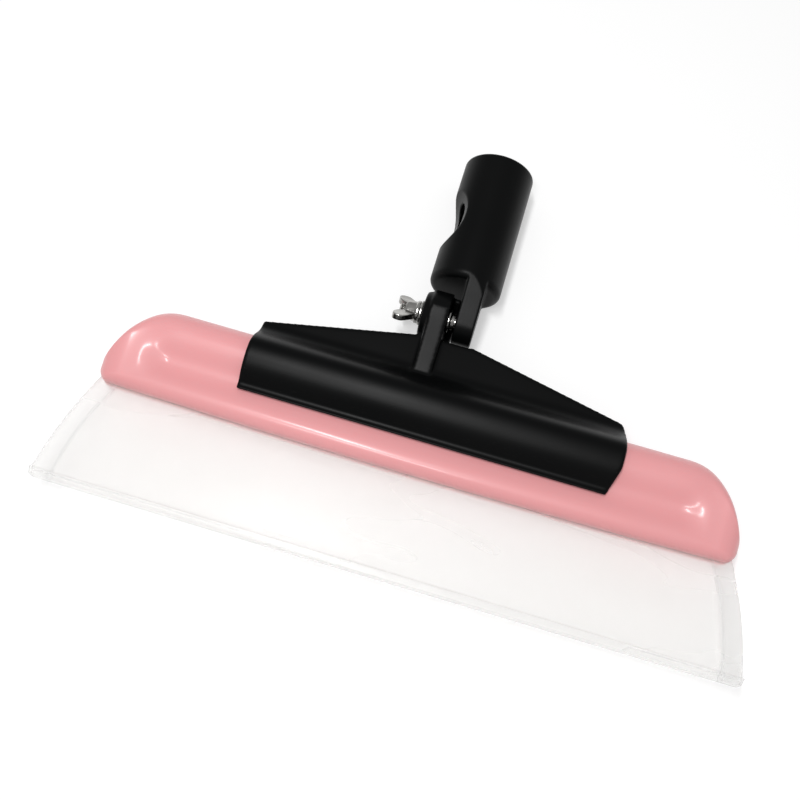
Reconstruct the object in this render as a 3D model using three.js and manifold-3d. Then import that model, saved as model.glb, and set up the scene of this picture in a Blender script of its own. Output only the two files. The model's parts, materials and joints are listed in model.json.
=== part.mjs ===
// A silicone water-blade squeegee with a clip-on pole adapter.
// Millimetres. +X along the wiping edge, +Y from the wiping edge towards the pole, +Z up off the table.
// The squeegee lies on its back: the pole socket and the back of the clip both touch Z = 0.
import * as THREE from "three";
import { mergeVertices } from "three/addons/utils/BufferGeometryUtils.js";
import Module from "manifold-3d";

const wasm = await Module();
wasm.setup();

// ---------------------------------------------------------------- driving dimensions
// Heights along Y are measured from the pivot bolt's axis, negative towards the wiping edge.
const GAP = 0.3; // clearance kept between pieces that touch
const FACETS = 48; // sides of the larger round pieces

const BLADE = {
  halfWidth: 152.5,
  tip: -120.5,
  tipThickness: 2.2,
  rootThickness: 3.4,
  barHeight: 3.2,
  barThickness: 7,
  rootTop: -55.5,
  rootHalfWidth: 130,
  keyRadius: 2.6,
};
const HANDLE = {
  top: -33.4,
  height: 41.3,
  halfWidth: 141,
  crown: 2,
  straightHalf: 112,
  shoulderHalf: 130.5,
  shoulderDrop: 8.2,
  flareDrop: 31,
  endRadius: 5.5,
  endRound: 10,
  bulbDepth: 11,
  bulbHalf: 12.2,
  waistDepth: 26,
  waistHalf: 6.6,
  beadDepth: 35.5,
  beadHalf: 8.3,
  mouthHalf: 3.4,
  wall: 2.5,
  cavityDepth: 20,
  cavityHalfLength: 118,
};
const PIN = { count: 5, pitch: 56, radius: 2, halfLength: 4.2, below: -62.6 };
const SOCKET = {
  radius: 16.4,
  bottom: 15.5,
  top: 80.5,
  boreRadius: 11.8,
  boreFloor: 20,
  bottomRound: 3,
  topRound: 1,
  scoopAt: 48,
  scoopDepth: 5.2,
  scoopRadius: 24,
  scoopTurn: 10,
  windowAt: 52.5,
  windowRadius: 4.8,
  windowTurn: 16,
};
const LUG = { left: 0.6, right: 9.4, radius: 9.5, rootAt: 18, hexDepth: 3.2, hexAcross: 8.5 };
const EAR = {
  left: -11.8,
  right: -3.3,
  radius: 12,
  footHalf: 3.5,
  bossRadius: 11,
  bossEnd: -15,
  shieldRadius: 9.3,
};
const CLIP = {
  lipHalfWidth: 81.4,
  halfWidth: 84.8,
  squareEnd: -80.9,
  cornerRun: 3.4,
  cornerDrop: 9,
  taperFrom: -50,
  webHalf: 2.6,
  webEnd: -25.4,
  webApex: -8.2,
  crownAt: -43.5,
  pinchAt: -57.6,
  pinchHalf: 9.9,
  lipAt: -61.2,
  lipHalf: 9.7,
  fit: 0.45,
};
const BOLT = { radius: 2.4, length: 31.75, headAcross: 7.9, headHeight: 2.9, holeRadius: 2.75 };
const WASHER = { thickness: 0.9, radius: 5.6, springRadius: 4.4, springThickness: 2.1 };
const NUT = {
  baseRadius: 5.2,
  topRadius: 3.9,
  height: 6.2,
  wingSpan: 21,
  wingHeight: 10.8,
  wingThickness: 2.8,
  turn: 39,
};

// The pivot sits at the socket's radius above the table and centres the object along Y.
const PIVOT = new THREE.Vector3(0, -(BLADE.tip + SOCKET.top) / 2, SOCKET.radius);

// ---------------------------------------------------------------- finishes
const finish = (color, roughness, metalness = 0, opacity = 1) =>
  new THREE.MeshStandardMaterial({
    color,
    roughness,
    metalness,
    opacity,
    transparent: opacity < 1,
  });
const FINISH = {
  pinkPlastic: () => finish(0xeca6a8, 0.3),
  blackPlastic: () => finish(0x141516, 0.5),
  clearSilicone: () => finish(0xf3f0ec, 0.2, 0, 0.35),
  steel: () => finish(0xc9c9c7, 0.25, 1),
  pinPlastic: () => finish(0xe6e2dc, 0.5),
};

// ---------------------------------------------------------------- solids
// A closed three.js geometry as a manifold solid.
function solid(geometry) {
  const bare = geometry.index ? geometry.toNonIndexed() : geometry.clone();
  bare.deleteAttribute("normal");
  bare.deleteAttribute("uv");
  const merged = mergeVertices(bare, 1e-4);
  return new wasm.Manifold(
    new wasm.Mesh({
      numProp: 3,
      vertProperties: merged.attributes.position.array,
      triVerts: new Uint32Array(merged.index.array),
    }),
  );
}

// A manifold solid as a named mesh.
function part(name, made, material) {
  const mesh = made.getMesh();
  const geometry = new THREE.BufferGeometry();
  const corners = new Float32Array(mesh.numVert * 3);
  for (let i = 0; i < mesh.numVert; i++) {
    corners.set(mesh.vertProperties.subarray(i * mesh.numProp, i * mesh.numProp + 3), i * 3);
  }
  geometry.setAttribute("position", new THREE.BufferAttribute(corners, 3));
  geometry.setIndex(new THREE.BufferAttribute(mesh.triVerts, 1));
  geometry.computeVertexNormals();
  const node = new THREE.Mesh(geometry, material);
  node.name = name;
  return node;
}

// Shapes drawn in (Y, Z) are pushed along X; shapes drawn in (X, Y) along Z.
const ALONG_X = new THREE.Matrix4().makeBasis(
  new THREE.Vector3(0, 1, 0),
  new THREE.Vector3(0, 0, 1),
  new THREE.Vector3(1, 0, 0),
);
function prismX(shape, from, to, curveSegments = 12) {
  const depth = to - from;
  const g = new THREE.ExtrudeGeometry(shape, { depth, bevelEnabled: false, curveSegments });
  return solid(g.translate(0, 0, from).applyMatrix4(ALONG_X));
}
function prismZ(shape, from, to, curveSegments = 12) {
  const depth = to - from;
  const g = new THREE.ExtrudeGeometry(shape, { depth, bevelEnabled: false, curveSegments });
  return solid(g.translate(0, 0, from));
}
// A round bar along X, with a slightly smaller end where endRadius is given.
function barX(radius, from, to, facets = 24, endRadius = radius) {
  const g = new THREE.CylinderGeometry(radius, endRadius, to - from, facets);
  return solid(g.rotateZ(-Math.PI / 2).translate((from + to) / 2, 0, 0));
}
// A ring along X.
const ringX = (outer, inner, from, to, facets = 24) =>
  barX(outer, from, to, facets).subtract(barX(inner, from - 1, to + 1, facets));
// A hexagonal bar along X.
const hexX = (across, from, to) => barX(across / Math.sqrt(3), from, to, 6);
// A body turned about Y from a profile of (radius, y) points that starts and ends on the axis.
const turned = (profile, facets = FACETS) => solid(new THREE.LatheGeometry(profile, facets));
const polygon = (points) => new THREE.Shape(points.map(([a, b]) => new THREE.Vector2(a, b)));

// ---------------------------------------------------------------- handle
// Half thickness of the handle down from its top edge: bulb, waist, bead and mouth.
function handleProfile() {
  const p = new THREE.Path();
  p.moveTo(0, 0);
  p.absellipse(HANDLE.bulbDepth, 0, HANDLE.bulbDepth, HANDLE.bulbHalf, Math.PI, Math.PI / 2, true);
  p.bezierCurveTo(18, HANDLE.bulbHalf, 20.5, HANDLE.waistHalf, HANDLE.waistDepth, HANDLE.waistHalf);
  p.bezierCurveTo(30, HANDLE.waistHalf, 32, HANDLE.beadHalf, HANDLE.beadDepth, HANDLE.beadHalf);
  const fall = HANDLE.height - HANDLE.beadDepth;
  const rise = HANDLE.beadHalf - HANDLE.mouthHalf;
  p.absellipse(HANDLE.beadDepth, HANDLE.mouthHalf, fall, rise, Math.PI / 2, 0, true);
  return p.getPoints(5);
}

// Top and bottom of the handle's front view at a distance x from the middle, as depths below its top edge.
function handleOutline(x) {
  const { straightHalf, shoulderHalf, shoulderDrop, flareDrop, halfWidth, endRadius } = HANDLE;
  const a = Math.abs(x);
  let top = 0;
  if (a > shoulderHalf) {
    const t = (a - shoulderHalf) / (halfWidth - shoulderHalf);
    top = shoulderDrop + (flareDrop - shoulderDrop) * t;
  } else if (a > straightHalf) {
    const t = (a - straightHalf) / (shoulderHalf - straightHalf);
    top = shoulderDrop * t * t;
  }
  const crown = HANDLE.crown * (a / halfWidth) ** 2;
  const cornerStart = halfWidth - endRadius;
  let bottom = HANDLE.height - crown;
  if (a > cornerStart) {
    const t = (a - cornerStart) / endRadius;
    bottom -= (HANDLE.height - HANDLE.crown - flareDrop - 1) * (1 - Math.sqrt(1 - t * t));
  }
  return { top, bottom: Math.max(bottom, top + 1), crown };
}

// How much of its full thickness the handle has at x: it rounds off to a thin edge at each end.
function endFactor(x, reach = HANDLE.halfWidth) {
  const past = Math.max(0, Math.abs(x) - (reach - HANDLE.endRound)) / HANDLE.endRound;
  return Math.sqrt(Math.max(0.02, 1 - past * past));
}

// Places along X where the handle's section is taken: few on the straight run, more round the ends.
function stations() {
  const { straightHalf, shoulderHalf, halfWidth } = HANDLE;
  const half = [0, straightHalf / 3, (straightHalf * 2) / 3, straightHalf];
  for (let i = 1; i <= 4; i++) half.push(straightHalf + ((shoulderHalf - straightHalf) * i) / 4);
  for (let i = 1; i <= 8; i++) {
    half.push(shoulderHalf + (halfWidth - shoulderHalf) * Math.sin((i * Math.PI) / 16));
  }
  return [...half.slice(1).reverse().map((x) => -x), ...half];
}

// The front half of the handle as a solid: a grid over X and the section, closed along the joint plane.
function halfHandle() {
  const profile = handleProfile();
  const xs = stations();
  const rows = xs.map((x) => {
    const { top, bottom } = handleOutline(x);
    const factor = endFactor(x);
    const row = profile.map(({ x: depth, y: half }) => {
      const drop = top + (depth / HANDLE.height) * (bottom - top);
      return [x, HANDLE.top - drop, half * factor];
    });
    row.push([x, HANDLE.top - bottom, 0]);
    return row;
  });
  const corners = [];
  const face = (a, b, c) => corners.push(...a, ...b, ...c);
  const last = rows[0].length - 1;
  for (let i = 0; i + 1 < rows.length; i++) {
    const [p, q] = [rows[i], rows[i + 1]];
    for (let j = 0; j < last; j++) {
      face(p[j], p[j + 1], q[j]);
      face(p[j + 1], q[j + 1], q[j]);
    }
    face(p[last], p[0], q[last]);
    face(p[0], q[0], q[last]);
  }
  const fan = (row, flip) => {
    for (let j = 1; j < last; j++) {
      if (flip) face(row[0], row[j + 1], row[j]);
      else face(row[0], row[j], row[j + 1]);
    }
  };
  fan(rows[0], true);
  fan(rows[rows.length - 1], false);
  const g = new THREE.BufferGeometry();
  g.setAttribute("position", new THREE.Float32BufferAttribute(corners, 3));
  return solid(g);
}

// The hollow of the bulb in one half of the handle.
function bulbHollow() {
  const { wall, bulbDepth, bulbHalf, cavityDepth, cavityHalfLength, top } = HANDLE;
  const s = new THREE.Shape();
  const reach = bulbDepth - wall;
  s.moveTo(top - wall, -1);
  s.lineTo(top - wall, 0);
  s.absellipse(top - bulbDepth, 0, reach, bulbHalf - wall, 0, Math.PI / 2, false);
  s.bezierCurveTo(top - 16, bulbHalf - wall, top - 18, 6.5, top - cavityDepth, 5.5);
  s.lineTo(top - cavityDepth, -1);
  return prismX(s, -cavityHalfLength, cavityHalfLength, 6);
}

// The blade's front view, grown by a margin for the slot that takes it.
function bladeOutline(grow = 0) {
  const { rootTop, rootHalfWidth, halfWidth, tip, barHeight } = BLADE;
  const s = new THREE.Shape();
  const side = [
    [rootHalfWidth + grow, rootTop + grow],
    [rootHalfWidth + grow, -66],
    [139.2 + grow, -70.5],
  ];
  s.moveTo(-side[0][0], side[0][1]);
  for (const [x, y] of side) s.lineTo(x, y);
  s.quadraticCurveTo(149 + grow, -92, halfWidth + grow, tip + barHeight);
  s.lineTo(halfWidth - 1 + grow, tip - grow);
  s.lineTo(-halfWidth + 1 - grow, tip - grow);
  s.lineTo(-halfWidth - grow, tip + barHeight);
  s.quadraticCurveTo(-149 - grow, -92, -side[2][0], side[2][1]);
  s.lineTo(-side[1][0], side[1][1]);
  return s;
}

function pinPlaces() {
  const middle = (PIN.count - 1) / 2;
  return Array.from({ length: PIN.count }, (_, i) => (i - middle) * PIN.pitch);
}
const barZ = (radius, x, y, from, to, facets = 16) =>
  solid(
    new THREE.CylinderGeometry(radius, radius, to - from, facets)
      .rotateX(Math.PI / 2)
      .translate(x, y, (from + to) / 2),
  );

function handleShell() {
  let shell = halfHandle();
  shell = shell.subtract(bulbHollow());
  const slotHalf = BLADE.rootThickness / 2 + GAP;
  shell = shell.subtract(prismZ(bladeOutline(GAP + 0.1), -1, slotHalf));
  const key = barX(BLADE.keyRadius + GAP, -BLADE.rootHalfWidth - GAP, BLADE.rootHalfWidth + GAP, 20);
  shell = shell.subtract(key.translate([0, BLADE.rootTop - BLADE.keyRadius, 0]));
  for (const x of pinPlaces()) {
    shell = shell.subtract(barZ(PIN.radius + GAP, x, PIN.below, -1, PIN.halfLength + GAP));
  }
  const jointPlane = new THREE.BoxGeometry(400, 200, 40).translate(0, 0, 20 + GAP / 2);
  return shell.intersect(solid(jointPlane));
}

// ---------------------------------------------------------------- silicone blade
function siliconeBlade() {
  const { tip, barHeight, barThickness, tipThickness, rootThickness, rootTop, keyRadius } = BLADE;
  const [root, thin] = [rootThickness / 2, tipThickness / 2];
  const mouth = HANDLE.top - HANDLE.height;
  const barTop = tip + barHeight;
  const s = polygon([
    [tip, -barThickness / 2],
    [tip, barThickness / 2],
    [barTop - 0.8, barThickness / 2 - 0.4],
    [barTop + 0.8, thin],
    [mouth, root],
    [rootTop, root],
    [rootTop, -root],
    [mouth, -root],
    [barTop + 0.8, -thin],
    [barTop - 0.8, -barThickness / 2 + 0.4],
  ]);
  const reach = BLADE.halfWidth + 5;
  const section = prismX(s, -reach, reach).add(
    barX(keyRadius, -reach, reach, 20).translate([0, rootTop - keyRadius, 0]),
  );
  let blade = section.intersect(prismZ(bladeOutline(), -10, 10));
  for (const x of pinPlaces()) {
    blade = blade.subtract(barZ(PIN.radius + GAP, x, PIN.below, -5, 5));
  }
  return blade;
}

// ---------------------------------------------------------------- clip
// The clip's section wraps the handle's bulb and pinches at its waist. Points are (Y, Z) on the front side.
function clipOuter() {
  const { webEnd, webHalf, crownAt, pinchAt, pinchHalf, lipAt, lipHalf } = CLIP;
  const crown = SOCKET.radius;
  const p = new THREE.Path();
  p.moveTo(webEnd, webHalf);
  p.bezierCurveTo(webEnd - 8.1, webHalf, webEnd - 9.6, crown, crownAt, crown);
  p.bezierCurveTo(crownAt - 6.5, crown, -54.5, 13.5, pinchAt, pinchHalf);
  p.quadraticCurveTo(pinchAt - 1.6, 8.2, lipAt, lipHalf);
  return p.getPoints(8);
}
function clipInner() {
  const line = handleProfile().filter((q) => q.x <= HANDLE.waistDepth + 0.01);
  return line.map((q, i) => {
    const before = line[Math.max(0, i - 1)];
    const after = line[Math.min(line.length - 1, i + 1)];
    const along = new THREE.Vector2(after.x - before.x, after.y - before.y).normalize();
    if (i === 0) along.set(0, 1);
    if (i === line.length - 1) along.set(1, 0);
    return [HANDLE.top - (q.x - along.y * CLIP.fit), q.y + along.x * CLIP.fit];
  });
}
function clipSaddle() {
  const outer = clipOuter().map((q) => [q.x, q.y]);
  const lipInner = [CLIP.lipAt, CLIP.lipHalf - 1.9];
  const inner = clipInner();
  const frontSide = [...outer, lipInner, ...inner.slice(1).reverse()];
  const top = [inner[0][0], 0];
  const backSide = frontSide.map(([y, z]) => [y, -z]).reverse();
  const { halfWidth, squareEnd, lipHalfWidth, taperFrom, lipAt, webEnd } = CLIP;
  const { cornerRun, cornerDrop } = CLIP;
  // Seen from the front, the ends lean in from the crown to the lips.
  // The right corner is rounded from the web's end to the full crown; the left end is square.
  const corner = Array.from({ length: 9 }, (_, i) => {
    const turn = (i * Math.PI) / 16;
    return [
      halfWidth - cornerRun * (1 - Math.sin(turn)),
      webEnd - cornerDrop * (1 - Math.cos(turn)),
    ];
  });
  const plan = [
    [halfWidth - cornerRun, 0],
    ...corner,
    [halfWidth, taperFrom],
    [lipHalfWidth, lipAt],
    [lipHalfWidth, lipAt - 1],
  ];
  const envelope = polygon([...plan, [squareEnd, lipAt - 1], [squareEnd, 0]]);
  return prismX(polygon([...frontSide, top, ...backSide]), -halfWidth, halfWidth).intersect(
    prismZ(envelope, -SOCKET.radius - 1, SOCKET.radius + 1),
  );
}
function clip() {
  const { squareEnd, webHalf, webEnd, webApex } = CLIP;
  const rightEnd = CLIP.halfWidth - CLIP.cornerRun;
  const web = polygon([
    [squareEnd, webEnd],
    [squareEnd, webEnd - 3],
    [rightEnd, webEnd - 3],
    [rightEnd, webEnd],
    [0, webApex],
  ]);
  // The ear: a round end about the pivot on a strap that runs down into the saddle.
  const ear = new THREE.Shape();
  const foot = HANDLE.top + CLIP.fit + 1.5;
  ear.absarc(0, 0, EAR.radius, -Math.PI / 2, Math.PI / 2, false);
  ear.lineTo(foot, EAR.footHalf);
  ear.lineTo(foot, -EAR.footHalf);
  // A half ring behind the pivot closes the gap beside the lug from below.
  const shield = new THREE.Shape();
  shield.absarc(0, 0, EAR.radius, Math.PI, 2 * Math.PI, false);
  shield.absarc(0, 0, EAR.shieldRadius, 2 * Math.PI, Math.PI, true);
  const boss = barX(EAR.bossRadius - 1, EAR.bossEnd, EAR.left + 0.1, 32, EAR.bossRadius);
  const clearance = barX(LUG.radius + 1.5, EAR.right, LUG.right + 1.5, 32);
  return clipSaddle()
    .add(prismZ(web, -webHalf, webHalf))
    .subtract(clearance)
    .add(prismX(ear, EAR.left, EAR.right, 14))
    .add(boss)
    .add(prismX(shield, EAR.right - 0.1, LUG.left - GAP, 14))
    .subtract(barX(BOLT.holeRadius, EAR.bossEnd - 1, EAR.right + 1));
}

// ---------------------------------------------------------------- pole socket
function poleSocket() {
  const { radius, bottom, top, boreRadius, boreFloor, bottomRound, topRound } = SOCKET;
  const wall = new THREE.Path();
  wall.moveTo(0, bottom);
  wall.lineTo(radius - bottomRound, bottom);
  wall.absarc(radius - bottomRound, bottom + bottomRound, bottomRound, -Math.PI / 2, 0, false);
  wall.lineTo(radius, top - topRound);
  wall.absarc(radius - topRound, top - topRound, topRound, 0, Math.PI / 2, false);
  wall.lineTo(boreRadius + 1.2, top);
  wall.lineTo(boreRadius, top - 1.6);
  wall.lineTo(boreRadius, boreFloor);
  wall.lineTo(0, boreFloor);
  let socket = turned(wall.getPoints(4));

  // A thumb scoop in the side, deep enough to open into the bore, and a window above it.
  const scoop = new THREE.CylinderGeometry(SOCKET.scoopRadius, SOCKET.scoopRadius, 60, 72)
    .rotateX(Math.PI / 2)
    .translate(-(radius - SOCKET.scoopDepth + SOCKET.scoopRadius), SOCKET.scoopAt, 0)
    .rotateY(THREE.MathUtils.degToRad(SOCKET.scoopTurn));
  const windowHole = new THREE.CylinderGeometry(SOCKET.windowRadius, SOCKET.windowRadius, 16, 24)
    .rotateZ(Math.PI / 2)
    .translate(-14, SOCKET.windowAt, 0)
    .rotateY(THREE.MathUtils.degToRad(SOCKET.windowTurn));
  socket = socket.subtract(solid(scoop)).subtract(solid(windowHole));

  // The lug narrows from the socket's full width to a round end about the pivot.
  const reach = Math.hypot(LUG.rootAt, radius);
  const lean = Math.atan2(radius, LUG.rootAt) + Math.acos(LUG.radius / reach);
  const lug = new THREE.Shape();
  lug.moveTo(LUG.rootAt, -radius);
  lug.lineTo(LUG.rootAt, radius);
  lug.absarc(0, 0, LUG.radius, lean, 2 * Math.PI - lean, false);
  const envelope = new THREE.CylinderGeometry(radius, radius, 60, FACETS);
  const tongue = prismX(lug, LUG.left, LUG.right, 10).intersect(solid(envelope));
  return socket
    .add(tongue)
    .subtract(barX(BOLT.holeRadius, LUG.left - 1, LUG.right + 1))
    .subtract(hexX(LUG.hexAcross, LUG.right - LUG.hexDepth, LUG.right + 1));
}

// ---------------------------------------------------------------- pivot hardware
const HEAD_FACE = LUG.right - LUG.hexDepth + 0.2; // underside of the bolt's head
const BOLT_END = HEAD_FACE - BOLT.length;
const NUT_WASHER_FACE = EAR.bossEnd - GAP;
const NUT_BASE = NUT_WASHER_FACE - WASHER.thickness - GAP;

function pivotBolt() {
  const shank = barX(BOLT.radius, BOLT_END + 0.8, HEAD_FACE + 0.1, 28);
  const point = barX(BOLT.radius - 0.5, BOLT_END, BOLT_END + 0.8, 28, BOLT.radius);
  const head = hexX(BOLT.headAcross, HEAD_FACE, HEAD_FACE + BOLT.headHeight);
  return shank.add(point).add(head);
}
const gapWasherFace = EAR.right + 0.25;
const flatWasher = () =>
  ringX(WASHER.radius, BOLT.holeRadius, gapWasherFace, gapWasherFace + WASHER.thickness);
function springWasher() {
  const from = gapWasherFace + WASHER.thickness + GAP;
  return ringX(WASHER.springRadius, BOLT.holeRadius, from, from + WASHER.springThickness);
}
const nutWasher = () =>
  ringX(WASHER.radius, BOLT.holeRadius, NUT_WASHER_FACE - WASHER.thickness, NUT_WASHER_FACE);

function wingNut() {
  const { baseRadius, topRadius, height, wingSpan, wingHeight, wingThickness, turn } = NUT;
  const hub = barX(topRadius, NUT_BASE - height, NUT_BASE, 32, baseRadius);
  // One wing, drawn outwards from the axis (Y) and away from the base (-X).
  const half = wingSpan / 2;
  const wing = new THREE.Shape();
  wing.moveTo(NUT_BASE - 1, 0);
  wing.lineTo(NUT_BASE - 1, baseRadius - 0.8);
  wing.quadraticCurveTo(NUT_BASE - 2.6, half - 3.2, NUT_BASE - 6, half - 0.4);
  wing.bezierCurveTo(
    NUT_BASE - 8.5,
    half + 0.6,
    NUT_BASE - wingHeight - 0.6,
    half,
    NUT_BASE - wingHeight,
    half - 3,
  );
  wing.bezierCurveTo(
    NUT_BASE - wingHeight + 0.4,
    half - 5,
    NUT_BASE - 8.5,
    topRadius + 0.6,
    NUT_BASE - height + 0.4,
    topRadius - 0.6,
  );
  wing.lineTo(NUT_BASE - height + 0.4, 0);
  const plate = () => prismZ(wing, -wingThickness / 2, wingThickness / 2, 8);
  return hub
    .add(plate())
    .add(plate().rotate([180, 0, 0]))
    .rotate([180 - turn, 0, 0])
    .subtract(barX(BOLT.radius + GAP, NUT_BASE - height - 1, NUT_BASE + 1, 28));
}

// ---------------------------------------------------------------- assembly
const squeegee = new THREE.Group();
const assembly = new THREE.Group();
assembly.position.copy(PIVOT);
squeegee.add(assembly);

const head = new THREE.Group();
const shell = handleShell();
head.add(part("silicone_blade", siliconeBlade(), FINISH.clearSilicone()));
head.add(part("handle_front_shell", shell, FINISH.pinkPlastic()));
head.add(part("handle_back_shell", shell.mirror([0, 0, 1]), FINISH.pinkPlastic()));
pinPlaces().forEach((x, i) => {
  const pin = barZ(PIN.radius, x, PIN.below, -PIN.halfLength, PIN.halfLength);
  head.add(part("handle_pin_" + (i + 1), pin, FINISH.pinPlastic()));
});

const adapter = new THREE.Group();
adapter.add(part("clip_saddle", clip(), FINISH.blackPlastic()));
adapter.add(part("pole_socket", poleSocket(), FINISH.blackPlastic()));
adapter.add(part("pivot_bolt", pivotBolt(), FINISH.steel()));
adapter.add(part("gap_washer", flatWasher(), FINISH.steel()));
adapter.add(part("spring_washer", springWasher(), FINISH.steel()));
adapter.add(part("nut_washer", nutWasher(), FINISH.steel()));
adapter.add(part("wing_nut", wingNut(), FINISH.steel()));
assembly.add(head, adapter);

export default squeegee;
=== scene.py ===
"""Looks of a silicone water-blade squeegee with a clip-on pole adapter.

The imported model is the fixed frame. Each sub-assembly below builds its own fine meshes in that frame,
dresses them, and hands every piece to the body it rides on. Shapes are drawn in millimetres about the
pivot bolt's axis (X along the wiping edge, Y towards the pole, Z up) and are placed once, in metres.
"""

from __future__ import annotations

import json
import logging
import math
from dataclasses import dataclass, field
from enum import Enum
from typing import Callable, Iterable, Sequence

import bmesh
import bpy
from mathutils import Matrix, Vector


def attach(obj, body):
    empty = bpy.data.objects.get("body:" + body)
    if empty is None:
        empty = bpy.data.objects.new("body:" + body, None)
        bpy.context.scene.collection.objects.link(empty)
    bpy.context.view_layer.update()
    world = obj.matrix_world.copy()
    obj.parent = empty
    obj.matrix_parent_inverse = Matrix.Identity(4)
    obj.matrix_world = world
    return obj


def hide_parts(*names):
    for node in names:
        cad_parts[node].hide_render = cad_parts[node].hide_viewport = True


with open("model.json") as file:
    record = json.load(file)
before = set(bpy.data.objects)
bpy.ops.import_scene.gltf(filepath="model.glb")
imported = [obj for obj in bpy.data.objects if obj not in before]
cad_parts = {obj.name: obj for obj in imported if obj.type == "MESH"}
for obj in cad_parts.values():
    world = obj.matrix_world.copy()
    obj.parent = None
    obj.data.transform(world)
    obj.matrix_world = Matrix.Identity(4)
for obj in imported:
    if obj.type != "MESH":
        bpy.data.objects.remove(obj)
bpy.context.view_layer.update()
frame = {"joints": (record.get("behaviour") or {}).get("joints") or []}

log = logging.getLogger("squeegee")

MM = 0.001
WHITE = (1.0, 1.0, 1.0, 1.0)
Point = tuple[float, float, float]
Flat = tuple[float, float]
Obj, Material = bpy.types.Object, bpy.types.Material
Tree, Node, Socket = bpy.types.NodeTree, bpy.types.Node, bpy.types.NodeSocket
Palette = dict[str, Material]
PIVOT = Vector(next(j["pos_m"] for j in frame["joints"] if j["name"] == "socket_tilt"))


# ---------------------------------------------------------------- small geometry helpers
def arc(centre: Flat, radii: Flat, start: float, end: float, steps: int) -> list[Flat]:
    """Points on an elliptical arc.

    Args:
        centre: The ellipse's centre.
        radii: Its two half axes.
        start: First angle, in degrees.
        end: Last angle, in degrees.
        steps: Number of stretches.

    Returns:
        The points, both ends included.
    """
    points = []
    for i in range(steps + 1):
        a = math.radians(start + (end - start) * i / steps)
        points.append((centre[0] + radii[0] * math.cos(a), centre[1] + radii[1] * math.sin(a)))
    return points


def bezier(p: Sequence[Flat], steps: int) -> list[Flat]:
    """Points on a quadratic or cubic Bezier curve.

    Args:
        p: Three or four control points.
        steps: Number of stretches.

    Returns:
        The points, both ends included.
    """
    made = []
    for i in range(steps + 1):
        t = i / steps
        line = [Vector(q) for q in p]
        while len(line) > 1:
            line = [a.lerp(b, t) for a, b in zip(line, line[1:])]
        made.append((line[0].x, line[0].y))
    return made


def joined(*runs: Iterable[Flat]) -> list[Flat]:
    """Joins runs of points, dropping a point that repeats the one before it."""
    out: list[Flat] = []
    for run in runs:
        for q in run:
            if not out or math.dist(out[-1], q) > 1e-6:
                out.append(q)
    return out


class Axis(Enum):
    """The axis that a prism runs along, or that a profile is turned about."""

    X = "x"
    Y = "y"
    Z = "z"

    def lift(self, a: float, b: float, along: float) -> Point:
        """Puts a flat point (a, b) at a distance along this axis."""
        return {
            Axis.X: (along, a, b),
            Axis.Y: (a, along, b),
            Axis.Z: (a, b, along),
        }[self]


def mesh_object(name: str, corners: Sequence[Point], faces: Sequence[Sequence[int]]) -> Obj:
    """Makes an object from corners in millimetres about the pivot.

    Args:
        name: The object's name.
        corners: Corner points.
        faces: Corner numbers of each face.

    Returns:
        The object, at the origin, with its place in its mesh and its faces pointing out.
    """
    data = bpy.data.meshes.new(name)
    data.from_pydata([Vector(c) * MM + PIVOT for c in corners], [], faces)
    made = bmesh.new()
    made.from_mesh(data)
    bmesh.ops.remove_doubles(made, verts=made.verts, dist=1e-7)
    bmesh.ops.recalc_face_normals(made, faces=made.faces)
    made.to_mesh(data)
    made.free()
    return linked(name, data)


def prism(name: str, outline: Sequence[Flat], start: float, end: float, axis: Axis) -> Obj:
    """A flat outline pushed along an axis.

    Args:
        name: The object's name.
        outline: Closed outline, in the two other axes in X, Y, Z order.
        start: Where it starts along the axis.
        end: Where it ends.
        axis: The axis it runs along.

    Returns:
        The prism.
    """
    n = len(outline)
    corners = [axis.lift(a, b, at) for at in (start, end) for a, b in outline]
    faces = [list(range(n)), list(range(2 * n - 1, n - 1, -1))]
    faces += [[i, (i + 1) % n, n + (i + 1) % n, n + i] for i in range(n)]
    return mesh_object(name, corners, faces)


def turned(name: str, profile: Sequence[Flat], axis: Axis, facets: int = 96) -> Obj:
    """A profile of (radius, along) points turned about an axis.

    Args:
        name: The object's name.
        profile: A profile that starts and ends on the axis, or closes on itself.
        axis: The axis of the turn.
        facets: Number of sides.

    Returns:
        The closed body.
    """
    ring = profile[0][0] > 1e-6
    corners: list[Point] = []
    for i in range(facets):
        a = 2 * math.pi * i / facets
        corners += [axis.lift(r * math.cos(a), r * math.sin(a), along) for r, along in profile]
    n = len(profile)
    faces = []
    for i in range(facets):
        k = (i + 1) % facets
        for j in range(n if ring else n - 1):
            m = (j + 1) % n
            faces.append([i * n + j, i * n + m, k * n + m, k * n + j])
    return mesh_object(name, corners, faces)


def bar(name: str, radius: float, start: float, end: float, axis: Axis, facets: int = 96) -> Obj:
    """A plain round bar, for cutting holes."""
    return turned(name, [(0, start), (radius, start), (radius, end), (0, end)], axis, facets)


def hexagon(across: float) -> list[Flat]:
    """The outline of a hexagon of a given width across its flats."""
    return arc((0, 0), (across / math.sqrt(3),) * 2, 30, 330, 5)


def discard(obj: Obj) -> None:
    """Removes a helper object and its mesh."""
    data = obj.data
    bpy.data.objects.remove(obj)
    bpy.data.meshes.remove(data)


def linked(name: str, data: bpy.types.ID) -> Obj:
    """Puts a new object with the given data in the scene."""
    obj = bpy.data.objects.new(name, data)
    bpy.context.scene.collection.objects.link(obj)
    return obj


def spin(obj: Obj, degrees: float, axis: Axis) -> Obj:
    """Turns a mesh about an axis through the pivot, in its own corners."""
    turn = Matrix.Rotation(math.radians(degrees), 4, axis.name)
    obj.data.transform(Matrix.Translation(PIVOT) @ turn @ Matrix.Translation(-PIVOT))
    return obj


def shift(obj: Obj, by: Point) -> Obj:
    """Moves a mesh by millimetres, in its own corners."""
    obj.data.transform(Matrix.Translation(Vector(by) * MM))
    return obj


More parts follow.
